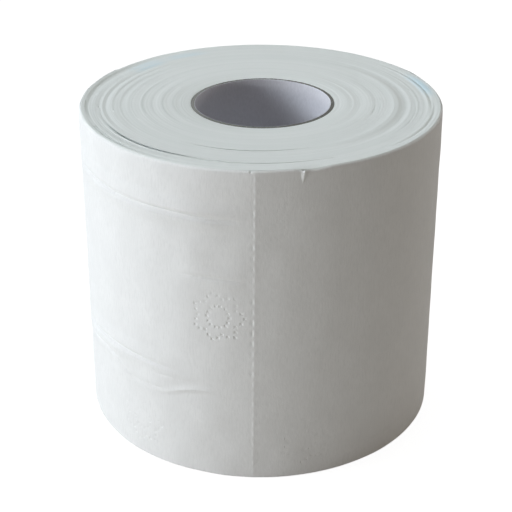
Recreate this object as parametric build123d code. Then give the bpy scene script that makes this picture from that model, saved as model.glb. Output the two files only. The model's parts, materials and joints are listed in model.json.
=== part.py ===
from build123d import *
from math import cos, degrees, radians, sin
import os

# A toilet paper roll standing on its end: a tissue web wound on a card core.
# Millimetres, +Z along the core, the origin at the middle of the end that it stands on.
# The line of perforation at the front faces -Y.

# The whole roll
sheet_width = 100.0
roll_diameter = 110.0
edge_bevel = 0.7

# The web
sheet_thickness = 0.4
sheet_length = 115.0
front_perforation_angle = 270

# The card core, whose ends sit a little inside the paper
core_diameter = 43.4
core_wall = 1.1
core_setback = 0.3

# The turns on the sawn ends: one band of turns sits lower than its neighbours and winds in to the core.
# The shares are of the depth of paper, counted inwards, from half a turn on from the tail and then at
# every half turn, for the outer and the inner side of the band, which is narrow at both ends.
band_depth = 0.6
band_outer_shares = (0.085, 0.105, 0.140, 0.305, 0.320, 0.515, 0.575, 0.735, 0.855)
band_inner_shares = (0.095, 0.220, 0.270, 0.390, 0.435, 0.620, 0.690, 0.850, 0.865)

# Gaps where the turns have parted: the share of the depth of paper, and the angles it opens between
gap_width = 0.7
gap_depth = 3.0
turn_gap_shares = (0.055, 0.165, 0.355, 0.460)
turn_gap_angles = ((138, 200), (207, 278), (300, 370), (118, 208))

# The slits along each line of perforation
slit_length = 1.9
slit_width = 0.35
slit_pitch = 3.4

# The torn nick in the top edge beside the front perforation
nick_angle = 282
nick_width = 1.6
nick_height = 3.0
nick_depth = 0.8

# How far every cut runs out past the surface it starts from
overrun = 1.0

outer_radius = roll_diameter / 2
core_radius = core_diameter / 2
paper_depth = outer_radius - core_radius
sheet_angle = degrees(sheet_length / outer_radius)
tail_angle = front_perforation_angle - sheet_angle


def on_circle(radius, angle):
    """The point at a radius and an angle on the level of the lower end."""
    return (radius * cos(radians(angle)), radius * sin(radians(angle)))


def half_turn_solid(start_radius, end_radius, start_angle):
    """Half of the winding, whose outside runs from one radius to another and has soft corners."""
    radius = (start_radius + end_radius) / 2
    section = Rectangle(radius, sheet_width, align=Align.MIN)
    section = chamfer(section.vertices().group_by(Axis.X)[-1], edge_bevel)
    half = revolve(Plane.XZ * section, Axis.Z, 180)
    return Rot(Z=start_angle) * Pos(start_radius - radius, 0, 0) * half


def winding_line(shares):
    """A line that winds in towards the core, half a turn of arc after half a turn."""
    radii = [outer_radius - share * paper_depth for share in shares]
    arcs = []
    for half, (start_radius, end_radius) in enumerate(zip(radii, radii[1:])):
        radius = (start_radius + end_radius) / 2
        arc = CenterArc((start_radius - radius, 0), radius, 0, 180)
        arcs.append(Rot(Z=tail_angle + 180 * (half + 1)) * arc)
    return arcs


def cut_in_upper_end(outline, depth):
    """What an outline takes out of the upper end of the roll."""
    return Pos(0, 0, sheet_width - depth) * extrude(make_face(outline), depth + overrun)


def sunken_band():
    """The band of turns that sits lower than the rest."""
    outer_side = winding_line(band_outer_shares)
    inner_side = winding_line(band_inner_shares)
    first_end = Line(outer_side[0] @ 0, inner_side[0] @ 0)
    last_end = Line(outer_side[-1] @ 1, inner_side[-1] @ 1)
    return cut_in_upper_end(outer_side + inner_side + [first_end, last_end], band_depth)


def turn_gap(share, start_angle, end_angle):
    """A crescent where one turn has sprung away from the next."""
    radius = outer_radius - share * paper_depth
    middle = (start_angle + end_angle) / 2
    start = on_circle(radius, start_angle)
    end = on_circle(radius, end_angle)
    outer_wall = ThreePointArc(start, on_circle(radius, middle), end)
    inner_wall = ThreePointArc(start, on_circle(radius - gap_width, middle), end)
    return cut_in_upper_end([outer_wall, inner_wall], gap_depth)


def perforation(turned):
    """The slits of one line of perforation, at an angle on from the tail."""
    surface = outer_radius - sheet_thickness * turned / 360
    depth = sheet_thickness + overrun
    slit = Box(depth, slit_width, slit_length, align=(Align.MIN, Align.CENTER, Align.CENTER))
    count = int((sheet_width - 2 * edge_bevel) / slit_pitch)
    first = (sheet_width - slit_pitch * (count - 1)) / 2
    line = [Pos(surface - sheet_thickness, 0, first + slit_pitch * i) * slit for i in range(count)]
    return [Rot(Z=tail_angle + turned) * one for one in line]


def torn_nick():
    """The small V torn out of the outer turns at the top edge."""
    half_mouth = nick_width / 2 * (nick_height + overrun) / nick_height
    mouth_height = sheet_width + overrun
    outline = Polyline(
        (-half_mouth, mouth_height),
        (half_mouth, mouth_height),
        (0, sheet_width - nick_height),
        close=True,
    )
    wedge = extrude(Plane.YZ * make_face(outline), nick_depth + overrun)
    return Rot(Z=nick_angle) * Pos(outer_radius - nick_depth, 0, 0) * wedge


def paper_winding():
    """Every turn of the web as one solid, with its tail as a step down the outside."""
    radii = [outer_radius - sheet_thickness * half / 2 for half in range(3)]
    winding = half_turn_solid(radii[0], radii[1], tail_angle)
    winding += half_turn_solid(radii[1], radii[2], tail_angle + 180)
    winding -= Cylinder(core_radius, sheet_width, align=(Align.CENTER, Align.CENTER, Align.MIN))
    end_cuts = [sunken_band()]
    for share, (start_angle, end_angle) in zip(turn_gap_shares, turn_gap_angles):
        end_cuts.append(turn_gap(share, start_angle, end_angle))
    middle = Plane.XY.offset(sheet_width / 2)
    end_cuts += [mirror(cut, about=middle) for cut in end_cuts]
    lines_in_outer_turn = int((360 - sheet_angle / 2) / sheet_angle)
    slits = [slit for i in range(lines_in_outer_turn) for slit in perforation(sheet_angle * (i + 1))]
    return winding - end_cuts - slits - torn_nick()


def core_tube():
    """The card tube, cut a little shorter than the sheet is wide."""
    length = sheet_width - 2 * core_setback
    standing = (Align.CENTER, Align.CENTER, Align.MIN)
    outside = Cylinder(core_radius, length, align=standing)
    bore = Cylinder(core_radius - core_wall, length, align=standing)
    return Pos(0, 0, core_setback) * (outside - bore)


os.makedirs("parts", exist_ok=True)
for name, shape in (("paper_winding", paper_winding()), ("core_tube", core_tube())):
    export_step(shape, f"parts/{name}.step")
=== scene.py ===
# %% [markdown]
# # A toilet paper roll, standing on its end
# The roll comes as two plain solids at their real size: the wound paper and the card core. This lesson
# gives them the surface of the real thing: thin turns on the sawn ends, a creped outer sheet with a line
# of perforation, and a core of grey card. Each piece is made where its solid stands, so nothing is fitted.

# %% Load the frame
import json
import math

import bpy
import numpy as np
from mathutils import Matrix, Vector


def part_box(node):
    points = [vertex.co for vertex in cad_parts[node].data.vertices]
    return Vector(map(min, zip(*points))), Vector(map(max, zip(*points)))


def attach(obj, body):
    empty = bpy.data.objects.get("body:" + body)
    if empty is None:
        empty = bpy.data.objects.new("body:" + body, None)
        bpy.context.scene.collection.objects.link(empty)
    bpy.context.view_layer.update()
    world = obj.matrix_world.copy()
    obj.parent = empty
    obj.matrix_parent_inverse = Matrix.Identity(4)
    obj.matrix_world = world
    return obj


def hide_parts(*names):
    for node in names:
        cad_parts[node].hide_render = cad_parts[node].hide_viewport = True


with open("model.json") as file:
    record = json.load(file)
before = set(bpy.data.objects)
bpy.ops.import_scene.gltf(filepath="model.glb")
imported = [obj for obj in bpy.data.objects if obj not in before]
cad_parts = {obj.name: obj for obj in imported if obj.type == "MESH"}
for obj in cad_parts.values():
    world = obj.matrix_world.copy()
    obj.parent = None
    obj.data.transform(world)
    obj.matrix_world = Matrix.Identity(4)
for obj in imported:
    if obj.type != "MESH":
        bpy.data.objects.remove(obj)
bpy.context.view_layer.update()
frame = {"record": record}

# %% [markdown]
# ## Sizes
# The sizes come from the solids' own boxes. The web's thickness and the length of a sheet can't be read
# from a box, so they are written here. A web of this thickness gives the number of turns.

# %% Sizes of the roll
MM = 0.001
paper_low, paper_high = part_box("paper_winding")
core_low, core_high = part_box("core_tube")
bore_mount = next(mount for mount in frame["record"]["mounts"] if mount["name"] == "core_bore")

roll_height = paper_high[2]
outer_radius = max(paper_high[0], paper_high[1], -paper_low[0], -paper_low[1])
core_radius = core_high[0]
bore_radius = bore_mount["dims"]["r_mm"] * MM

sheet_thickness = 0.4 * MM
sheet_length = 115 * MM
full_turn = 2 * math.pi
front_perforation = math.radians(270)
tail_angle = front_perforation - sheet_length / outer_radius
turns = round((outer_radius - sheet_thickness - core_radius) / sheet_thickness)
print("turns", turns, "radius", outer_radius, "core", core_radius, "bore", bore_radius)

# %% [markdown]
# ## Shader maths that reads like Python
# A material is a graph of nodes. Wiring every sum by hand hides what it says, so one small class wraps a
# socket: plus, minus, times and divide on it add Math nodes, and `node` adds any other node. What is the
# same all over a surface needs no node: it is set on the shader's own socket.


# %% A socket with operators
class Field:
    """A value that varies over a surface: one socket of a material's nodes."""

    def __init__(self, tree, socket=None):
        self.tree = tree
        self.socket = socket

    def node(self, kind, settings, inputs, output=0):
        """Adds a node, with its settings and what goes into its sockets."""
        made = self.tree.nodes.new(kind)
        for name, value in settings.items():
            setattr(made, name, value)
        for name, value in inputs.items():
            if isinstance(value, Field):
                self.tree.links.new(value.socket, made.inputs[name])
            else:
                made.inputs[name].default_value = value
        return Field(self.tree, made.outputs[output])

    def other(self, output):
        """Another output of the node that this field comes from."""
        return Field(self.tree, self.socket.node.outputs[output])

    def maths(self, operation, first, second=0.0):
        return self.node("ShaderNodeMath", {"operation": operation}, {0: first, 1: second})

    def __add__(self, other):
        return self.maths("ADD", self, other)

    __radd__ = __add__

    def __sub__(self, other):
        return self.maths("SUBTRACT", self, other)

    def __rsub__(self, other):
        return self.maths("SUBTRACT", other, self)

    def __mul__(self, other):
        return self.maths("MULTIPLY", self, other)

    __rmul__ = __mul__

    def __truediv__(self, other):
        return self.maths("DIVIDE", self, other)

    def __rtruediv__(self, other):
        return self.maths("DIVIDE", other, self)

    def __abs__(self):
        return self.maths("ABSOLUTE", self)

    def smooth(self, low, high):
        """0 below low, 1 above high and a soft step between, or the other way round."""
        settings = {"interpolation_type": "SMOOTHSTEP"}
        flip = low > high
        inputs = {"Value": self, "From Min": min(low, high), "From Max": max(low, high)}
        inputs.update({"To Min": float(flip), "To Max": float(not flip)})
        return self.node("ShaderNodeMapRange", settings, inputs)

    def mix(self, first, second):
        """A colour between two, with this field as the share of the second."""
        return self.node("ShaderNodeMix", {"data_type": "RGBA"}, {0: self, 6: first, 7: second}, 2)


print("a field can", [name for name in vars(Field) if not name.startswith("_")])


# %% Starting a material
def new_material(name):
    """An empty material, with its shader and a field to start sums from."""
    material = bpy.data.materials.new(name)
    material.use_nodes = True
    tree = material.node_tree
    return material, tree.nodes["Principled BSDF"], Field(tree)


def feed(shader, fields):
    """Links fields to the shader's sockets of these names."""
    for name, field in fields.items():
        field.tree.links.new(field.socket, shader.inputs[name])


def set_plain(shader, values):
    """Sets sockets of the shader to values that are the same all over."""
    for name, value in values.items():
        shader.inputs[name].default_value = value


def tell_finish(material):
    print("finish", material.name, len(material.node_tree.nodes), "nodes")


print("materials so far", len(bpy.data.materials))

# %% [markdown]
# ## Places on the roll
# Every finish here follows the roll's own directions: round it, along it and in towards the core. These
# come from the object's coordinates, which are metres in the roll's frame. Unwrapping the meshes would
# give them too, but leaves a seam. The core isn't quite in the middle, so its axis lies a little aside.

# %% Coordinates and noise for the finishes
core_aside = 0.5 * MM


def roll_coordinates(position, aside=0.0):
    """The radius from an axis that may lie aside, the angle round it and the height."""
    x = position.node("ShaderNodeSeparateXYZ", {}, {0: position})
    y, z = x.other(1), x.other(2)
    if aside:
        x = x - aside
    squared = x * x + y * y
    return squared.maths("SQRT", squared), x.maths("ARCTAN2", y, x), z


def object_position(start):
    return start.node("ShaderNodeTexCoord", {}, {}, "Object")


def noise(position, cells, detail=3.0):
    """Noise from 0 to 1, with this many cells to a metre along X, Y and Z."""
    place = position.node("ShaderNodeVectorMath", {"operation": "MULTIPLY"}, {0: position, 1: cells})
    inputs = {"Vector": place, "Scale": 1.0, "Detail": detail, "Roughness": 0.6}
    return position.node("ShaderNodeTexNoise", {"noise_dimensions": "3D"}, inputs)


def bump(height, strength, distance):
    """The normal of a surface that this height raises by up to a distance."""
    return height.node("ShaderNodeBump", {}, {"Strength": strength, "Distance": distance, "Height": height})


print("the core's axis lies", core_aside / MM, "mm aside")

# %% [markdown]
# ## Creped tissue
# Tissue is scraped off its drying drum, which leaves fine ridges across the web. On a wound roll they
# run along the axis. Noise squeezed round the roll and stretched along it gives those ridges, a rounder
# noise the grain of the fibres, and a broad one their cloudy look. A photo of tissue would bring its own
# light with it, so none is used.
# The low places of the ridges are also painted darker, as painted shade in the crepe's valleys.

# %% The finish of the outer sheet
tissue_white = (0.862, 0.872, 0.867, 1)
tissue_cloud = (0.83, 0.84, 0.835, 1)
# The third tone is painted shade for the valleys of the crepe.
tissue_crepe_shade = (0.80, 0.81, 0.805, 1)
relief_height = 0.08 * MM


def creped_tissue():
    material, shader, start = new_material("creped_tissue")
    position = object_position(start)
    crepe = noise(position, (2300, 2300, 400))
    fibres = noise(position, (3000, 3000, 2200), 2.0)
    grain = noise(position, (1100, 1100, 900), 2.0)
    clouds = noise(position, (130, 130, 90))
    white = clouds.smooth(0.3, 0.7).mix(tissue_cloud, tissue_white)
    raised = crepe + 0.6 * fibres + 1.6 * grain
    # Where the crepe is low, the colour turns to the painted shade tone.
    feed(shader, {
        "Base Color": crepe.smooth(0.25, 0.6).mix(tissue_crepe_shade, white),
        "Roughness": 0.86 + 0.1 * clouds,
        "Normal": bump(raised, 0.35, relief_height),
    })
    set_plain(shader, {"Specular IOR Level": 0.2, "Sheen Weight": 0.12, "Sheen Roughness": 0.5})
    return material


tissue_finish = creped_tissue()
tell_finish(tissue_finish)

# %% [markdown]
# ## Sawn edges
# The ends are the cut edges of the same tissue, dozens of layers deep. Noise that is fine across the
# layers and long round the roll gives each layer its own tone, and where it dips the colour is painted
# darker, as painted shade between the layers. Three pale blue marks lie near the rim at the back left
# and the right. They are soft patches of colour, because ink or dust has no height.

# %% The blue marks
blue_marks = ((51.6, 2.7, 17, 15, 0.95), (49.4, 4.0, 140, 11, 0.6), (49.6, 3.4, 122, 12, 0.38))


def blue_mask(radius, angle, mark):
    """A soft patch: radius and width in millimetres, angle and length in degrees, and its strength."""
    middle, across, turn, along, strength = mark
    off_radius = abs(radius - middle * MM) / (across * MM)
    off_angle = abs(angle - math.radians(turn)) / math.radians(along)
    return strength * off_radius.smooth(1, 0.2) * off_angle.smooth(1, 0.2)


print("blue marks", len(blue_marks))

# %% The finish of the sawn ends
layer_cells = 2600
layer_drift = 3
# The dip tone is painted shade, for where the layers' bump is low.
layer_dip_shade = (0.79, 0.82, 0.805, 1)
layer_tones = ((0.82, 0.85, 0.835, 1), (0.85, 0.875, 0.862, 1))
mark_blue = (0.66, 0.83, 0.92, 1)


def sawn_edges():
    material, shader, start = new_material("sawn_edges")
    position = object_position(start)
    radius, angle, _ = roll_coordinates(position)
    drift = [noise(position, (9, 9, 0), 1.0), noise(position, (11, 7, 3), 1.0)]
    inputs = {0: radius * layer_cells, 1: drift[0] * layer_drift, 2: drift[1] * layer_drift}
    layer_place = radius.node("ShaderNodeCombineXYZ", {}, inputs)
    layers = noise(layer_place, (1, 1, 1), 2.0)
    bunches = noise(layer_place, (0.16, 1, 1), 1.0)
    fuzz = noise(position, (1900, 1900, 1900), 3.0)
    tone = bunches.smooth(0.3, 0.7).mix(*layer_tones)
    # Painted shade: the low places of the layer noise take the darker tone.
    lined = layers.smooth(0.2, 0.55).mix(layer_dip_shade, tone)
    masks = [blue_mask(radius, angle, mark) for mark in blue_marks]
    blue = sum(masks[1:], masks[0])
    feed(shader, {
        "Base Color": (blue * bunches.smooth(0.1, 0.6)).mix(lined, mark_blue),
        "Roughness": 0.88 + 0.1 * fuzz,
        "Normal": bump(layers + 0.6 * fuzz, 0.25, relief_height),
    })
    set_plain(shader, {"Specular IOR Level": 0.15, "Sheen Weight": 0.1})
    return material


sawn_finish = sawn_edges()
tell_finish(sawn_finish)

# %% [markdown]
# ## Card
# The core is grey recycled card with a paler paper lining inside, wound as a spiral with a faint seam. The
# saw bares the grey card on the rim, and the rim is painted paler at the left, as painted light on the side
# of the key lamp. Two materials would need a loop of edges just where they meet, and a mask on the radius
# needs none.

# %% The finish of the core
lining_share = 0.1
lining_radius = bore_radius + lining_share * (core_radius - bore_radius)
lining_edge = 0.03 * MM
lining_tones = ((0.74, 0.745, 0.79, 1), (0.80, 0.805, 0.855, 1))
seam_tone = (0.36, 0.36, 0.37, 1)
card_tones = ((0.11, 0.11, 0.1, 1), (0.19, 0.19, 0.175, 1))
fleck_tone = (0.4, 0.4, 0.38, 1)
# The left of the rim is painted paler: painted light on the side of the key lamp.
rim_light_tone = (0.30, 0.30, 0.285, 1)
rim_light_from, rim_light_full = 2.0, 2.8


def core_card():
    material, shader, start = new_material("core_card_fibres")
    position = object_position(start)
    radius, angle, height = roll_coordinates(position, core_aside)
    fibres = noise(position, (2200, 2200, 800))
    specks = noise(position, (900, 900, 900), 1.0)
    seam = angle / full_turn + height / (2 * roll_height)
    seam_line = abs(seam.maths("FRACT", seam) - 0.5).smooth(0.012, 0.004)
    lining = fibres.smooth(0.3, 0.7).mix(*lining_tones)
    seamed = (0.3 * seam_line).mix(lining, seam_tone)
    card = fibres.smooth(0.3, 0.7).mix(*card_tones)
    flecked = specks.smooth(0.66, 0.72).mix(card, fleck_tone)
    # Painted light: the card turns paler towards the left, where the key lamp stands.
    rim_lit = (0.7 * abs(angle).smooth(rim_light_from, rim_light_full)).mix(flecked, rim_light_tone)
    cut = radius.smooth(lining_radius - lining_edge, lining_radius + lining_edge)
    feed(shader, {
        "Base Color": cut.mix(seamed, rim_lit),
        "Roughness": 0.8 + 0.15 * specks,
        "Normal": bump(fibres - seam_line, 0.1, 0.06 * MM),
    })
    set_plain(shader, {"Specular IOR Level": 0.25})
    return material


card_finish = core_card()
tell_finish(card_finish)

# %% [markdown]
# ## Relief of the sawn ends
# The ends aren't flat. Bunches of turns sit a little lower or higher than their neighbours, and in a few
# places two turns have sprung apart and left a dark gap. All are arcs: a radius, and the angles between
# which they run, fading at their ends. The clear ones follow the real roll, and many faint ones are drawn
# at random. A fixed seed gives the same roll on every run, which sculpting by hand would not.

# %% Arcs on the ends
chance = np.random.default_rng(11)


def arc(radius, start, end, width, depth):
    """One arc of the relief: radius, width and depth in millimetres, angles in degrees."""
    middle, half = math.radians((start + end) / 2), math.radians((end - start) / 2)
    return {"radius": radius * MM, "middle": middle, "half": half, "width": width * MM, "depth": depth * MM}


parted_turns = (
    arc(53.1, 126, 206, 0.40, 2.0),
    arc(53.4, 180, 244, 0.10, 0.25),
    arc(52.4, 168, 248, 0.05, 0.12),
    arc(50.8, 174, 254, 0.06, 0.18),
    arc(49.4, 188, 258, 0.90, 1.1),
    arc(49.7, 230, 296, 0.30, 0.18),
    arc(44.8, 112, 194, 0.06, 0.2),
    arc(39.5, 114, 206, 0.08, 0.3),
    arc(40.3, 236, 292, 0.08, 0.16),
    arc(36.0, 152, 202, 0.04, 0.18),
    arc(30.0, 144, 222, 0.03, 0.18),
    arc(27.0, 144, 218, 0.03, 0.18),
    arc(34.2, 342, 362, 0.04, 0.2),
    arc(35.8, 344, 364, 0.04, 0.2),
    arc(46.9, 324, 374, 0.04, 0.15),
)
soft_troughs = (
    arc(40.5, 296, 420, 1.30, -0.20),
    arc(43.4, 296, 420, 1.30, 0.24),
    arc(46.4, 316, 398, 0.60, 0.07),
    arc(47.8, 330, 410, 0.45, 0.07),
    arc(49.3, 322, 402, 0.50, 0.08),
    arc(50.5, 345, 405, 0.60, -0.10),
    arc(51.3, 345, 405, 0.40, 0.17),
    arc(51.5, 312, 364, 0.60, -0.10),
    arc(52.3, 312, 364, 0.40, 0.17),
    arc(34.8, 322, 396, 1.10, 0.08),
    arc(29.3, 300, 420, 1.60, 0.14),
    arc(51.7, 126, 192, 1.30, 0.20),
    arc(52.9, 186, 262, 0.40, 0.05),
    arc(51.2, 178, 258, 0.40, 0.07),
    arc(48.6, 160, 222, 0.60, 0.10),
    arc(46.8, 122, 228, 0.80, 0.09),
    arc(44.2, 120, 202, 0.80, 0.07),
    arc(41.5, 118, 216, 1.00, 0.08),
    arc(37.4, 122, 206, 0.90, 0.06),
    arc(33.0, 132, 216, 1.30, 0.08),
    arc(28.5, 142, 222, 1.20, 0.06),
    arc(55.0, 281, 292, 1.80, 0.50),
)
faint_count = 44


def faint_trough():
    """A faint arc at a random radius, at the left or the right."""
    middle = math.degrees(chance.choice((0.0, math.pi)) + chance.normal(0, 0.35))
    half = chance.uniform(25, 60)
    radius = chance.uniform(core_radius + 1 * MM, outer_radius - 2 * MM) / MM
    return arc(radius, middle - half, middle + half, chance.uniform(0.3, 0.9), chance.uniform(0.01, 0.06))


faint_troughs = {end: [faint_trough() for _ in range(faint_count)] for end in ("top", "bottom")}
print("arcs", len(parted_turns), len(soft_troughs), "and", faint_count, "faint ones to an end")


# %% Depth of the arcs
def from_middle(angle, shape):
    """How far round from the middle of an arc, as a share of half its length."""
    return (np.mod(angle - shape["middle"] + math.pi, full_turn) - math.pi) / shape["half"]


def bow(share):
    """1 in the middle of an arc, falling to 0 at its ends."""
    return np.clip(1 - share**2, 0, 1)


def trough_depth(radius, angle, troughs):
    """The depth of soft troughs at a radius and an angle."""
    depth = np.zeros_like(radius)
    for shape in troughs:
        across = np.exp(-(((radius - shape["radius"]) / shape["width"]) ** 2))
        depth += shape["depth"] * across * bow(from_middle(angle, shape))
    return depth


print("soft troughs up to", max(shape["depth"] for shape in soft_troughs) / MM, "mm deep")

# %% [markdown]
# ## How deep the end lies
# The end dips a little towards the core. At the front left the outer turns have slid down into a soft
# shoulder, and at the left they stand up as a lip. A formula for the depth at any place is better than a
# sculpted end, because the turns and the sheet that wraps them can both ask it.

# %% Dish, shoulder and lip
dish_depth = 0.33 * MM
dish_reach = 7 * MM
core_dip = 0.55 * MM
core_dip_reach = 4 * MM
shoulder = arc(49.9, 192, 284, 5.1, 0.7)
shoulder_round = 0.95
shoulder_step = 0.12 * MM
lip = arc(55, 126, 196, 2.6, 0.45)
lip_root = 28 * MM


def shoulder_depth(radius, angle):
    """How far the outer turns have slid down at the front left."""
    across = shoulder_round * np.clip((radius - shoulder["radius"]) / shoulder["width"], 0, 1)
    fall = shoulder["depth"] * (1 - np.sqrt(1 - across**2)) + shoulder_step * (across > 0)
    return fall * bow(from_middle(angle, shoulder))


def lip_depth(radius, angle):
    """How far the turns behind the raised outer lip lie below it, at the left."""
    behind = 1 - np.exp(np.minimum(radius - lip["radius"], 0) / lip["width"])
    rooted = np.clip((radius - lip_root) / (lip["radius"] - lip_root), 0, 1)
    return lip["depth"] * behind * rooted * bow(from_middle(angle, lip))


def end_depth(radius, angle, end):
    """How far the sawn end lies below its highest level, without the gaps and the rounded edge."""
    dish = dish_depth * (1 - np.exp(np.minimum(radius - outer_radius, 0) / dish_reach))
    depth = dish + trough_depth(radius, angle, faint_troughs[end])
    if end == "top":
        depth = depth + trough_depth(radius, angle, soft_troughs) + shoulder_depth(radius, angle)
        depth = depth + lip_depth(radius, angle)
        depth = depth + core_dip * np.exp(-np.maximum(radius - core_radius, 0) / core_dip_reach)
    return depth


print("the shoulder falls", shoulder["depth"] / MM, "mm")

# %% [markdown]
# ## The rounded rim
# The outermost turns bend over at their cut edge and lean in towards the core. A bevel would round every
# edge of the mesh alike, so the rim has formulas of its own. The inner turns lie aside with the core.

# %% The rim and the axis
edge_radius = 0.8 * MM
shoulder_lean = 0.3 * MM
rim_lean = 0.22 * MM
rim_reach = 2 * MM


def outside_radius(angle):
    """The radius of the outermost sheet, which falls by its own thickness in one turn."""
    return outer_radius - sheet_thickness * np.mod(angle - tail_angle, full_turn) / full_turn


def edge_depth(radius, angle):
    """How far the rounded outer edge falls away."""
    into_edge = np.clip(edge_radius - (outside_radius(angle) - radius), 0, edge_radius)
    return edge_radius - np.sqrt(edge_radius**2 - into_edge**2)


def lean_in(radius, angle):
    """How far the outer turns lean in towards the core at the top, most of all on the shoulder."""
    across = np.clip((radius - shoulder["radius"]) / shoulder["width"], 0, 1)
    on_shoulder = shoulder_lean * across**2 * bow(from_middle(angle, shoulder))
    return on_shoulder + rim_lean * np.exp((radius - outer_radius) / rim_reach)


def off_centre(radius):
    """How far turns lie to the right of the roll's axis, most of all at the core."""
    return core_aside * ((outer_radius - radius) / (outer_radius - core_radius)) ** 2


print("the rim leans in", rim_lean / MM, "mm")

# %% [markdown]
# ## The wound turns
# The end of a roll is one long spiral: the edge of a single web. So the mesh is a spiral too, because
# rings would show a jump where each ring closes. Its points run along the web from the outside to the
# core, with a line between turns and a crest on each turn.

# %% The spiral's plan
steps = 256
lead_in = 0.1 * MM
pitch = (outer_radius - sheet_thickness - core_radius - lead_in) / turns

line_turn = np.arange(steps * (turns + 1) + 1) / steps
line_angle = tail_angle + full_turn * line_turn
line_radius = outer_radius - sheet_thickness - pitch * line_turn
last_turn = line_turn > turns
line_radius[last_turn] = core_radius + lead_in * (turns + 1 - line_turn[last_turn])

crest_turn = line_turn[: steps * turns + 1] + 0.5
crest_angle = line_angle[: steps * turns + 1]
crest_radius = (line_radius[: steps * turns + 1] + line_radius[steps:]) / 2
print("steps a turn", steps, "pitch", pitch, "points", line_turn.size, crest_turn.size)

# %% [markdown]
# ## Opening the gaps
# Where turns have parted, one looks down into a dark crescent. A dark stripe in the material would stay
# flat from the side, so the mesh opens: the turns on both sides of the line move apart, the line sinks,
# and its bottom is drawn in under the turn inside it, so that little light gets there.

# %% Parting the turns
gap_reach = 1.6 * MM
gap_undercut = 1.2
on_line = 0.1
still_rim = 1 * MM


def gap_turn(shape, angle):
    """Which turn of the spiral a gap follows, at each angle."""
    middle_turn = (shape["middle"] - tail_angle) / full_turn
    whole = round((outer_radius - sheet_thickness - shape["radius"]) / pitch - middle_turn)
    return whole + middle_turn + from_middle(angle, shape) * shape["half"] / full_turn


def part_turns(turn, angle, radius):
    """Pushes turns apart at the gaps, and gives the new radii and the depths of the gaps."""
    moved, depth = radius.copy(), np.zeros_like(radius)
    room = np.clip((outside_radius(angle) - sheet_thickness - radius) / still_rim, 0, 1)
    for shape in parted_turns:
        opening = bow(from_middle(angle, shape))
        inwards = turn - gap_turn(shape, angle)
        push = np.exp(-np.abs(inwards) * pitch / gap_reach) * opening * shape["width"] / 2
        moved -= np.sign(np.round(inwards, 3)) * push * room
        in_gap = np.abs(inwards) < on_line
        depth += np.where(in_gap, shape["depth"] * opening**2, 0)
        moved -= np.where(in_gap, (pitch / 2 + gap_undercut * shape["depth"]) * opening**0.25, 0)
    return moved, depth


line_places, line_gaps = part_turns(line_turn, line_angle, line_radius)
crest_places = part_turns(crest_turn, crest_angle, crest_radius)[0]
print("gaps up to", round(line_gaps.max() / MM, 2), "mm deep")

# %% [markdown]
# ## Points of the ends
# Each turn of a sawn end stands a hair higher or lower than the next. A bump map would look flat from the
# side, so the points themselves take a small random depth, which drifts along the web.

# %% Placing the points
line_dip = 0.03 * MM
jitter = 0.035 * MM
knots_a_turn = 3


def turn_jitter(turn, amount):
    """A small random depth for each turn, which drifts along the web."""
    knots = chance.uniform(0, amount, int(turn.max() * knots_a_turn) + 2)
    return np.interp(turn * knots_a_turn, np.arange(knots.size), knots)


def spiral_points(end):
    """The points of one sawn end: first the lines between turns, then the crests."""
    depths = turn_jitter(crest_turn, jitter)
    deep = np.concatenate((np.interp(line_turn, crest_turn, depths) + line_dip + line_gaps, depths))
    radius = np.concatenate((line_places, crest_places))
    angle = np.concatenate((line_angle, crest_angle))
    deep = deep + end_depth(radius, angle, end) + edge_depth(radius, angle)
    height = deep
    if end == "top":
        height = roll_height - deep
        radius = radius - lean_in(radius, angle)
    aside = off_centre(np.concatenate((line_radius, crest_radius)))
    return np.column_stack((radius * np.cos(angle) + aside, radius * np.sin(angle), height))


ends = {end: spiral_points(end) for end in ("top", "bottom")}
print("points to an end", len(ends["top"]))

# %% [markdown]
# ## Joining the spiral
# The points are in order along the web, so a face is only a matter of counting: a step, the next step, and
# the same two one turn further in. Walls round the outside, in the bore and at the web's ends close the
# mesh, because an open one could not be used as a solid elsewhere.


# %% Joining the turns
def new_object(name, data):
    """An object with this mesh, lamp or camera, linked to the scene."""
    made = bpy.data.objects.new(name, data)
    bpy.context.scene.collection.objects.link(made)
    return made


def add_piece(name, points, faces, material, node=None, sharp_from=60):
    """Makes a mesh object, gives it its finish and lets it ride on the roll."""
    mesh = bpy.data.meshes.new(name)
    mesh.from_pydata(points, [], faces)
    mesh.validate()
    mesh.shade_smooth()
    mesh.set_sharp_from_angle(angle=math.radians(sharp_from))
    mesh.materials.append(material)
    piece = new_object(name, mesh)
    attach(piece, "root")
    if node:
        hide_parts(node)
    triangles = sum(len(face.vertices) - 2 for face in mesh.polygons)
    print("piece", name, "points", len(mesh.vertices), "triangles", triangles)


def wound_turns():
    under = len(ends["top"])
    line = np.arange(line_turn.size)
    crest = line.size + np.arange(crest_turn.size)
    here, there = np.arange(steps * turns), np.arange(steps * turns) + 1
    outer_half = np.column_stack((line[here], line[there], crest[there], crest[here]))
    inner_half = np.column_stack((crest[here], crest[there], line[there + steps], line[here + steps]))
    upper = np.vstack((outer_half, inner_half))
    lower = upper[:, ::-1] + under
    outside = np.arange(steps)
    bore = steps * turns + outside
    wall = np.column_stack((outside, outside + under, outside + 1 + under, outside + 1))
    bore_wall = np.column_stack((bore, bore + 1, bore + 1 + under, bore + under))
    faces = np.vstack((upper, lower, wall, bore_wall)).tolist()
    for first in (0, steps * turns):
        rim = [line[first], crest[first], line[first + steps]]
        end_wall = rim + [point + under for point in reversed(rim)]
        faces.append([int(point) for point in (end_wall if first == 0 else end_wall[::-1])])
    points = np.vstack((ends["top"], ends["bottom"]))
    add_piece("wound_turns", points, faces, sawn_finish, "paper_winding")


wound_turns()

# %% [markdown]
# ## The outer sheet
# The outermost turn is what one sees from the side: a thin sheet, wrapped once round from its loose tail.
# It is a grid of small cells, which lie closer together where a perforation or a tear needs sharp edges.
# A subdivided cylinder would spend as many cells on the plain back as on the front.

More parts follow.
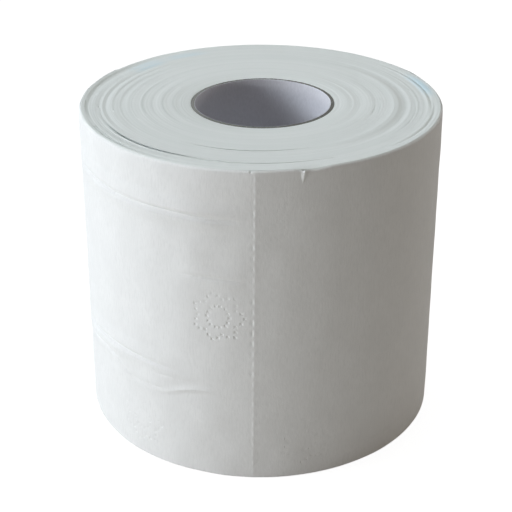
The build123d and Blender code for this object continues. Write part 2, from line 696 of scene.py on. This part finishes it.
# %% Rows and columns of the sheet
column_width = 0.82 * MM
fine_width = 0.56 * MM
fine_from, fine_to = math.radians(205) - tail_angle, math.radians(292) - tail_angle
slit_rows = 6
slit_pitch = 3.4 * MM
perforations = [sheet_length / outer_radius * line for line in (1, 2)]
tear_place = math.radians(283.5) - tail_angle
tear_columns = np.array((-1.8, -1.3, -0.9, -0.5, -0.2, 0.1, 0.4, 0.7, 1.0, 1.3, 1.8)) * MM
slit_columns = np.array((-1.9, -1.6, -1.3, -1.0, -0.7, -0.4, -0.15, 0.1, 0.35, 0.6, 0.9, 1.5)) * MM


def sheet_columns():
    """Angles on from the tail, evenly spaced apart from the fine columns at the cuts."""
    borders = (0, fine_from, fine_to, full_turn)
    spans = []
    for start, end, width in zip(borders, borders[1:], (column_width, fine_width, column_width)):
        count = round((end - start) * outer_radius / width)
        spans.append(np.linspace(start, end, count, endpoint=False))
    angles = np.append(np.concatenate(spans), full_turn)
    cuts = [(place, slit_columns) for place in perforations] + [(tear_place, tear_columns)]
    for place, fine in cuts:
        clear = np.abs(angles - place) * outer_radius > fine.max() + fine_width / 2
        angles = np.concatenate((angles[clear], place + fine / outer_radius))
    return np.sort(angles)


straight_rows = round((roll_height - 2 * edge_radius) / slit_pitch * slit_rows)
row_heights = np.linspace(edge_radius, roll_height - edge_radius, straight_rows + 1)
round_angles = np.linspace(0, math.acos(1 - sheet_thickness / edge_radius), 7)[1:]
column_angles = sheet_columns()
print("columns", column_angles.size, "straight rows", row_heights.size)

# %% [markdown]
# ## Creases
# The outer sheet is loose, and a hand has pushed it into long folds at the left. The winding under it is
# firm, so a fold stands out: two soft lips, and between them a valley that goes no deeper than the sheet
# is thick. A few are plain bulges. Cloth simulation could fold the sheet, but not just where the real one
# is folded. Rows of the grid move onto each valley, so that it stays sharp.

# %% The lines of the creases
def crease(angles, heights, above, below, depth):
    """A fold along a line of angles in degrees and heights in millimetres, with two slopes."""
    sizes = {"above": above * MM, "below": below * MM, "depth": depth * MM}
    return {"angles": np.radians(angles), "heights": np.array(heights) * MM, **sizes}


creases = (
    crease((192, 206, 224, 242, 256, 268), (85.6, 86.0, 85.3, 85.2, 84.9, 84.5), 1.4, 1.2, 0.56),
    crease((232, 242, 256, 266), (85.2, 85.2, 84.9, 84.6), 1.4, 1.2, 0.26),
    crease((188, 207, 224, 238, 247), (33.0, 34.0, 34.6, 34.5, 34.2), 1.4, 1.2, 0.56),
    crease((190, 202, 212, 218, 228), (28.8, 30.0, 30.8, 30.2, 26.4), 1.2, 1.0, 0.38),
    crease((220, 228, 236, 246), (28.4, 26.2, 26.2, 26.8), 1.2, 1.0, 0.2),
    crease((239, 244, 249, 253, 258), (25.6, 26.8, 28.5, 29.1, 29.2), 1.6, 1.4, -0.3),
    crease((232, 241, 248, 254), (31.2, 31.3, 31.2, 31.0), 1.0, 0.9, 0.12),
    crease((246, 257, 268), (66.8, 66.6, 66.2), 1.2, 1.0, 0.24),
    crease((296, 303, 311, 324), (3.4, 4.8, 6.4, 7.0), 1.0, 1.4, -0.16),
)
print("creases", len(creases))

# %% Shaping the creases
row_bend_reach = 0.9 * MM
fade = 0.8
fold_shape = {"reach": (0, 0.8, 1.2, 3.8), "level": (0.42, -0.88, -1.0, 0)}
bulge_shape = {"reach": (0, 0.8, 1.2, 2.6), "level": (1, -0.3, -0.42, 0)}


def along_crease(angle, fold):
    """The height of a crease at an angle on from the tail, and how strong it is there."""
    turned = np.mod(angle + tail_angle, full_turn)
    along = (turned - fold["angles"][0]) / (fold["angles"][-1] - fold["angles"][0])
    return np.interp(turned, fold["angles"], fold["heights"]), bow(2 * along - 1) ** fade


def follow_creases(angle, height):
    """Moves the rows of the grid a little, so that points of it lie on each crease."""
    bent = height.copy()
    for fold in creases:
        line, strength = along_crease(angle, fold)
        off = line - height
        nearest = np.take_along_axis(off, np.abs(off).argmin(axis=1)[:, None], axis=1)
        bent += nearest * (strength > 0) * np.exp(-((off / row_bend_reach) ** 2))
    return bent


def crease_relief(angle, height):
    """The change of radius that the creases make."""
    relief = np.zeros_like(angle)
    for fold in creases:
        line, strength = along_crease(angle, fold)
        off = height - line
        reach = np.abs(off) / np.where(off > 0, fold["above"], fold["below"])
        shape = fold_shape if fold["depth"] > 0 else bulge_shape
        relief -= fold["depth"] * strength * np.interp(reach, shape["reach"], shape["level"])
    return relief


print("lips up to", max(fold["depth"] for fold in creases) / MM, "mm high")

# %% [markdown]
# ## Perforation
# A blade has nicked the web along a line, so that sheets tear off there. The line stands up as a faint
# ridge, and each nick has a sunken left side and a lip on its right that catches the light. Real holes
# would leave ragged edges in so thin a sheet, so each nick is a change of radius.

# %% The lines of perforation
slit_half, slit_end = 0.3, 0.15
ridge_height = 0.30 * MM
ridge_reach = 5 * MM
slit_across = np.array((-1.3, -0.7, -0.4, 0.1, 0.35, 0.9, 1.5)) * MM
slit_sunk = np.array((0.0, -0.06, -0.08, 0.0, 0.0, 0.0, 0.0)) * MM
slit_raised = np.array((0.0, 0.0, -0.02, 0.07, 0.07, 0.03, 0.0)) * MM
sunk_heights = np.array((0, 30, 40, 50, 62, 90, 97)) * MM
sunk_shares = (0.1, 0.2, 0.9, 1.2, 0.7, 0.6, 0.1)
openness = chance.uniform(0.7, 1.3, 40)


def slit_share(height):
    """1 in the middle of a slit and 0 in the bridges between slits."""
    phase = (height - edge_radius) / (roll_height - 2 * edge_radius) * straight_rows / slit_rows
    return np.clip((slit_half - np.abs(np.mod(phase, 1) - 0.5)) / slit_end, 0, 1)


def perforation_relief(angle, height):
    """The change of radius at the lines of perforation: a ridge with nicks in it."""
    relief = np.zeros_like(angle)
    for place in perforations:
        off = (angle - place) * outer_radius
        relief += ridge_height * np.exp(-np.abs(off) / ridge_reach)
        sunk = np.interp(height, sunk_heights, sunk_shares)
        profile = sunk * np.interp(off, slit_across, slit_sunk) + np.interp(off, slit_across, slit_raised)
        relief += profile * slit_share(height) * openness[(height / slit_pitch).astype(int)]
    return relief


print("slits to a line", round(straight_rows / slit_rows))

# %% [markdown]
# ## Waves and the tear
# No soft roll is a true cylinder, so a sum of long random waves makes the sheet uneven. In the top edge
# there is a small tear, a triangle with its right side bent out, and a tiny notch beside the perforation.
# They only move points of the grid, so the sheet stays one closed mesh.

# %% Waves, tear and notch
wave_count = 26
wave_height = 0.011 * MM
wave_length = 30 * MM
tear_depth = 3.8 * MM
tear_drop = 0.3 * MM
tear_half = 0.5 * MM
tear_lip = 0.6 * MM
flap_across = np.array((-0.7, 0.4, 1.8)) * MM
notch_place = perforations[0] - 1.3 * MM / outer_radius
notch_depth = 0.4 * MM
notch_half = 0.35 * MM


def soft_waves(angle, height):
    """Broad uneven waves, as on any soft roll."""
    relief = np.zeros_like(angle)
    for _ in range(wave_count):
        around, phase = chance.integers(4, 30), chance.uniform(0, full_turn)
        along = chance.normal(0, 1) * full_turn / wave_length
        relief += wave_height * np.cos(around * angle + along * height + phase)
    return relief


def edge_drop(angle):
    """How far the tear, and a small notch beside the perforation, lower the top edge."""
    off_tear = np.abs(angle - tear_place) * outer_radius
    off_notch = np.abs(angle - notch_place) * outer_radius
    drop = tear_drop * np.clip(1 - off_tear / tear_half, 0, 1)
    return drop + notch_depth * np.clip(1 - off_notch / notch_half, 0, 1)


def tear_relief(angle, height):
    """The flap of the tear: a small triangle with its right side bent out."""
    rise = np.clip((height - roll_height + tear_depth) / tear_depth, 0, 1)
    off = (angle - tear_place) * outer_radius / (0.2 + 0.8 * rise)
    return tear_lip * np.sqrt(rise) * np.interp(off, flap_across, (0, 1, 0))


print("tear", tear_depth / MM, "mm long")

# %% [markdown]
# ## Pressed dots
# Tissue is embossed: pins press small dots into it, which hold its plies together. Here the dots draw a
# plain scalloped rosette with a ring inside, set out in two staggered rows and pressed more or less
# firmly. One near the front is clear, and the others have nearly flattened out, as on a tight roll.

# %% Where the dots go
dot_gap = 1.45 * MM
scallops = 7
scallop_radius = 6.8 * MM
scallop_swing = 0.9 * MM
heart_radius = 3.3 * MM


def ring_of_dots(radius, swing):
    """Dots round a ring whose radius swings in and out, as places round and along the roll."""
    count = scallops * round(full_turn * radius / dot_gap / scallops)
    angles = full_turn * np.arange(count) / count
    out = radius + swing * np.cos(scallops * angles)
    return np.column_stack((out * np.cos(angles), out * np.sin(angles)))


rosette = np.vstack((ring_of_dots(scallop_radius, scallop_swing), ring_of_dots(heart_radius, 0)))
rosette_columns = 13
rosette_pitch = full_turn / rosette_columns
rosette_heights = (np.array((54.5,)) * MM, np.array((12.5, 96.5)) * MM)
clear_rosette = perforations[0] - 10.3 * MM / outer_radius
clear_firmness = {0: 0.85, -1: 0.5}


def rosette_places():
    """The middles of the whole rosettes and how firmly each is pressed."""
    places = []
    columns_before = int(clear_rosette / rosette_pitch)
    for column in range(-columns_before, rosette_columns - columns_before):
        for height in rosette_heights[column % 2]:
            firmness = clear_firmness.get(column, chance.uniform(0.2, 0.45))
            if height + scallop_radius < roll_height:
                places.append((clear_rosette + column * rosette_pitch, height, firmness))
    return places


rosettes = rosette_places()
print("rosettes", len(rosettes), "dots each", len(rosette))

# %% [markdown]
# ## Sinking the dots
# A dot is about as wide as a cell of the grid. So each dot takes the nearest point of the grid, moves it
# to its exact place and sinks it, and a fan of eight triangles makes that a small round dent. A finer
# grid all over would take far more triangles for the same dots.

# %% Moving points onto the dots
dot_depth = 0.25 * MM
dot_room = 1.6 * fine_width
edge_columns, edge_rows = 3, 8
middle_press, lower_press = 0.85, 0.3


def sink_dots(angle, height):
    """Moves grid points onto the dots. Returns how far each point of the grid is sunk."""
    sunk, taken = np.zeros(angle.shape), np.zeros(angle.shape, bool)
    heights = height[0].copy()
    columns, rows = angle.shape
    for middle, level, firmness in rosettes:
        for across, up in rosette:
            place, dot_height = middle + across / outer_radius, level + up
            column = int(np.argmin(np.abs(column_angles - place)))
            row = int(np.argmin(np.abs(heights - dot_height)))
            inside = edge_columns <= column < columns - edge_columns
            if not inside or not edge_rows <= row < rows - edge_rows:
                continue
            width = (column_angles[column + 1] - column_angles[column - 1]) * outer_radius
            if width < dot_room or taken[column - 1 : column + 2, row - 1 : row + 2].any():
                continue
            taken[column, row] = True
            angle[column, row], height[column, row] = place, dot_height
            press = middle_press - lower_press * up / scallop_radius
            sunk[column, row] = firmness * dot_depth * press
    return sunk


print("dots up to", dot_depth / MM, "mm deep")

# %% [markdown]
# ## The grid of the sheet
# The sheet is built flat first, as angles and heights, and rolled up last. At both ends the rows bend
# over with the rounded rim. On its hidden side the sheet needs no grid: one row of points, its waist,
# closes it, and the loose tail gets an inner column, so that its torn edge has a thickness.


# %% Angles and heights of the grid
def sheet_grid():
    """Angles, heights and how far each row is set in, before any mark is made."""
    low = edge_radius - edge_radius * np.sin(round_angles[::-1])
    high = roll_height - edge_radius + edge_radius * np.sin(round_angles)
    heights = np.concatenate((low, row_heights, high))
    curve = edge_radius * (1 - np.cos(round_angles))
    set_in = np.concatenate((curve[::-1], np.zeros_like(row_heights), curve))
    angle, height = np.meshgrid(column_angles, heights, indexing="ij")
    return angle, height, np.broadcast_to(set_in, angle.shape)


print("grid", sheet_grid()[0].shape)

# %% Faces of the sheet
ring_round = ((-1, -1), (0, -1), (1, -1), (1, 0), (1, 1), (0, 1), (-1, 1), (-1, 0))


def outer_faces(index, sunk):
    """The cells of the grid, with a fan of triangles round each sunken point."""
    plain = np.ones((index.shape[0] - 1, index.shape[1] - 1), bool)
    fans = []
    for column, row in np.argwhere(sunk > 0):
        plain[column - 1 : column + 1, row - 1 : row + 1] = False
        ring = [index[column + right, row + up] for right, up in ring_round]
        pairs = zip(ring, ring[1:] + ring[:1])
        fans += [[first, second, index[column, row]] for first, second in pairs]
    cells = np.stack((index[:-1, :-1], index[1:, :-1], index[1:, 1:], index[:-1, 1:]), axis=-1)
    return cells[plain].tolist() + fans


def hidden_faces(index):
    """The inner side of the sheet, its last edge, and the torn edge of the tail."""
    columns, rows = index.shape
    waist = index.size + np.arange(columns)
    behind_tail = index.size + columns
    faces = []
    for column in range(1, columns - 1):
        low, high, after = index[column, 0], index[column, -1], column + 1
        faces.append([low, waist[column], waist[after], index[after, 0]])
        faces.append([waist[column], high, index[after, -1], waist[after]])
    faces.append([waist[-1], *index[-1, ::-1]])
    inner_column = [index[0, 0], *range(behind_tail, behind_tail + rows - 2), index[0, -1]]
    for row in range(rows - 1):
        quad = [index[0, row + 1], inner_column[row + 1], inner_column[row], index[0, row]]
        faces.append(list(dict.fromkeys(quad)))
    faces.append([*inner_column, index[1, -1], waist[1], index[1, 0]])
    return faces


print("triangles to a dot", len(ring_round))

# %% Joining the grid
sag_reach = 8 * MM
waist_height = roll_height - sag_reach
sheet_sharp_from = 15


def grid_piece(name, radius, angle, height, sunk):
    """Joins the grid into a thin closed sheet with sunken dots and a torn tail."""
    index = np.arange(radius.size).reshape(radius.shape)
    faces = outer_faces(index, sunk) + hidden_faces(index)
    waist_radius = outer_radius - sheet_thickness * (1 + column_angles / full_turn)
    waist_heights = np.full(waist_radius.size, waist_height)
    all_radii = np.concatenate((radius.ravel(), waist_radius, radius[0, 1:-1] - sheet_thickness))
    all_angles = np.concatenate((angle.ravel(), angle[:, 0], angle[0, 1:-1]))
    all_heights = np.concatenate((height.ravel(), waist_heights, height[0, 1:-1]))
    points = np.column_stack((all_radii * np.cos(all_angles), all_radii * np.sin(all_angles), all_heights))
    faces = [[int(point) for point in face] for face in faces]
    add_piece(name, points, faces, tissue_finish, sharp_from=sheet_sharp_from)


print("waist", waist_height / MM, "mm up")

# %% [markdown]
# ## Building the sheet
# All the marks are changes of radius or height, so they add up, and unlike sculpted ones each can be
# changed alone. Near the top the sheet sags and leans with the turns that it wraps, which keeps the rim
# closed. The loose tail stands off a little, and its edge has the teeth of a torn perforation.

# %% The outer sheet
tail_lift = 0.12 * MM
tail_reach = 4 * MM
tail_teeth = 0.5 * MM
lean_reach = 5 * MM
perforation_lean = 0.8 * MM


def outer_sheet():
    angle, height, set_in = sheet_grid()
    sunk = sink_dots(angle, height)
    height = follow_creases(angle, height)
    radius = outer_radius - sheet_thickness * angle / full_turn - set_in - sunk
    radius = radius + crease_relief(angle, height) + perforation_relief(angle, height)
    radius = radius + soft_waves(angle, height) + tear_relief(angle, height)
    radius = radius + tail_lift * np.exp(-angle * outer_radius / tail_reach)
    turned = angle + tail_angle
    near_top = np.clip((height - roll_height + sag_reach) / sag_reach, 0, 1)
    inside = outside_radius(turned) - sheet_thickness
    sag = end_depth(inside, turned, "top") * near_top**2 * (3 - 2 * near_top)
    leaning = np.clip((height - roll_height) / lean_reach + 1, 0, 1) ** 2
    radius = radius - lean_in(inside, turned) * leaning
    height = height - sag - edge_drop(angle) * np.clip(4 * near_top - 3, 0, 1)
    turned[0] += tail_teeth / outer_radius * (1 - slit_share(height[0]))
    turned = turned - perforation_lean / outer_radius * (1 - height / roll_height)
    grid_piece("outer_sheet", radius, turned, height, sunk)


outer_sheet()

# %% [markdown]
# ## The card core
# The core is a tube of two plies: grey card outside and a thin pale lining inside. Its rim was sawn with
# the paper, so it is a little rough, and at the back right the lining has frayed into small tufts that
# hang into the bore. A profile across the wall is turned round the axis, as a Screw modifier would do it,
# but in numbers, so that each step can differ a little from the next.

# %% Turning the core
core_steps = 240
rim_shares = (1.0, 0.96, 0.62, lining_share + 0.03, lining_share, lining_share - 0.03, 0.05, 0.0)
rim_levels = np.array((-0.10, 0.0, 0.0, 0.0, -0.12, 0.02, 0.02, -0.08)) * MM
rim_height = 0.4 * MM
rim_roughness = 0.025 * MM
wall_rows = 20
wall_bend = 0.04 * MM
bend_length = 30 * MM
fray_angle = math.radians(57)
fray_half = math.radians(11)
fray_height = 0.3 * MM
fray_hang = 0.6 * MM
core_sharp_from = 40


def core_profile():
    """Radii and heights round the section of the wall, from the outside over the top and down."""
    radii = bore_radius + np.array(rim_shares) * (core_radius - bore_radius)
    top = core_high[2] - core_dip
    inner_heights = np.linspace(top - rim_height, core_low[2] + rim_height, wall_rows)
    heights = np.concatenate((top + rim_levels, inner_heights, core_low[2] - rim_levels[::-1]))
    return np.concatenate((radii, np.full(wall_rows, bore_radius), radii[::-1])), heights


def card_core():
    radii, heights = core_profile()
    angles = full_turn * np.arange(core_steps) / core_steps
    rim = len(rim_shares)
    frayed = slice(rim - 3, rim - 1)
    radius = np.tile(radii, (core_steps, 1))
    height = np.tile(heights, (core_steps, 1))
    height[:, 1:rim] += chance.normal(0, rim_roughness, (core_steps, rim - 1))
    fray = bow((angles - fray_angle) / fray_half) * chance.uniform(0, 1, core_steps) ** 2
    height[:, frayed] += (fray * fray_height)[:, None]
    radius[:, frayed] -= (fray * fray_hang)[:, None]
    bend = wall_bend * np.cos(2 * angles[:, None] + heights / bend_length)
    radius[:, rim:-rim] += bend[:, rim:-rim]
    turned = angles[:, None]
    across = radius * np.cos(turned) + core_aside
    points = np.stack((across, radius * np.sin(turned), height), axis=-1).reshape(-1, 3)
    index = np.arange(radius.size).reshape(radius.shape)
    ring = [index, np.roll(index, -1, axis=0)]
    after = [np.roll(block, -1, axis=1) for block in ring]
    faces = np.stack((ring[0], ring[1], after[1], after[0]), axis=-1).reshape(-1, 4).tolist()
    add_piece("card_core", points, faces, card_finish, "core_tube", core_sharp_from)


card_core()

# %% [markdown]
# ## Floor and world
# A plain studio: a pale floor, and a faint warm light from all round that fills the shadows. The camera
# sees both as nearly white, because Light Path gives camera rays a brighter surface than the lamps' light
# meets. A white floor for all rays would throw more light on the paper.

# %% The floor and the world
floor_half = 3.0
floor_glow = 0.92
floor_tone = (0.62, 0.60, 0.57, 1)
shadow_tone = (0.25, 0.25, 0.25, 1)
pure_white = (1, 1, 1, 1)
even_tone = (1.0, 0.62, 0.3, 1)
even_strength = 0.05


def show_camera(start, output, plain, bright):
    """Gives what the camera sees, also in a mirror or through glass, the bright shader."""
    direct = start.node("ShaderNodeLightPath", {}, {}, "Is Camera Ray")
    total = direct + direct.other("Is Glossy Ray") + direct.other("Is Transmission Ray")
    seen = total.maths("MINIMUM", total, 1.0)
    mixed = start.node("ShaderNodeMixShader", {}, {0: seen, 1: plain, 2: bright})
    start.tree.links.new(mixed.socket, start.tree.nodes[output].inputs["Surface"])


def studio_floor():
    mesh = bpy.data.meshes.new("studio_floor")
    signs = ((-1, -1), (1, -1), (1, 1), (-1, 1))
    mesh.from_pydata([(x * floor_half, y * floor_half, 0) for x, y in signs], [], [(0, 1, 2, 3)])
    material, shader, start = new_material("pale_floor")
    set_plain(shader, {"Base Color": floor_tone, "Roughness": 0.9})
    plain = Field(start.tree, shader.outputs[0])
    glow = start.node("ShaderNodeEmission", {}, {"Color": pure_white, "Strength": floor_glow})
    shade = start.node("ShaderNodeBsdfDiffuse", {}, {"Color": shadow_tone})
    bright = start.node("ShaderNodeAddShader", {}, {0: glow, 1: shade})
    show_camera(start, "Material Output", plain, bright)
    mesh.materials.append(material)
    floor = new_object("studio_floor", mesh)
    return floor


def studio_world():
    world = bpy.data.worlds.new("studio")
    bpy.context.scene.world = world
    world.use_nodes = True
    start = Field(world.node_tree)
    even = start.node("ShaderNodeBackground", {}, {"Color": even_tone, "Strength": even_strength})
    white = start.node("ShaderNodeBackground", {}, {"Color": pure_white, "Strength": 1.0})
    show_camera(start, "World Output", even, white)
    return world


print("studio", studio_floor().name, studio_world().name)

# %% [markdown]
# ## Lamps
# Four soft boxes light the roll: a wide cool key at the left, a lower one at the front left, a weak warm
# fill at the right, and one overhead for the sawn end. Low boxes leave the bore dark, and their size makes
# the shading soft. An image of a room would do it too, but its light is harder to set piece by piece.

# %% The lamps
lamp_distance = 1.2


def soft_lamp(name, azimuth, elevation, size, power, colour):
    """A soft box of a width and a height that points at the middle of the roll."""
    lamp = bpy.data.lights.new(name, "AREA")
    lamp.shape = "RECTANGLE"
    lamp.size, lamp.size_y = size
    lamp.energy, lamp.color = power, colour
    box = new_object(name, lamp)
    turn, tilt = math.radians(azimuth), math.radians(elevation)
    away = np.array((math.cos(tilt) * math.cos(turn), math.cos(tilt) * math.sin(turn), math.sin(tilt)))
    box.location = away * lamp_distance + np.array((0, 0, roll_height / 2))
    box.rotation_euler = (math.pi / 2 - tilt, 0, turn + math.pi / 2)


soft_lamp("key_lamp", 186, 23, (0.75, 0.36), 9.2, (0.854, 0.922, 1.0))
soft_lamp("side_lamp", 221, 5, (0.6, 0.2), 4.35, (1.0, 1.0, 1.0))
soft_lamp("fill_lamp", 8, 5, (0.6, 0.2), 1.79, (1.0, 0.915, 0.85))
soft_lamp("top_lamp", 90, 80, (0.8, 0.8), 6.95, (0.915, 0.985, 1.0))
print("lamps", [lamp.name for lamp in bpy.data.lights])

# %% [markdown]
# ## Camera
# The camera stands in front and a little above, as far off as the roll's outline in the picture says: the
# two rims give the height and the distance, and the roll's width in the frame gives the lens. Trying views
# by hand comes close, but measuring the outline fits both rims at once.

# %% The camera
camera_distance = 428.5 * MM
camera_elevation = math.radians(26.32)
camera_pitch = math.radians(26.69)
camera_aside = -1.5 * MM
camera_turn = math.radians(1.8)
lens_mm = 94.3
sensor_mm = 36.0

camera_data = bpy.data.cameras.new("camera")
camera_data.lens = lens_mm
camera_data.sensor_width = sensor_mm
camera = new_object("camera", camera_data)
back = camera_distance * math.cos(camera_elevation)
rise = roll_height / 2 + camera_distance * math.sin(camera_elevation)
right = np.array((math.cos(camera_turn), math.sin(camera_turn), 0))
ahead = np.array((-math.sin(camera_turn), math.cos(camera_turn), 0))
camera.location = right * camera_aside - ahead * back + np.array((0, 0, rise))
camera.rotation_euler = (math.pi / 2 - camera_pitch, 0, camera_turn)
bpy.context.scene.camera = camera
bpy.context.scene.view_settings.view_transform = "Standard"
print("camera", tuple(round(value, 4) for value in camera.location))

# %% [markdown]
# ## Size of the dressed roll
# The dressed roll has to be as large as its solids.

# %% [markdown]
# ## Finish
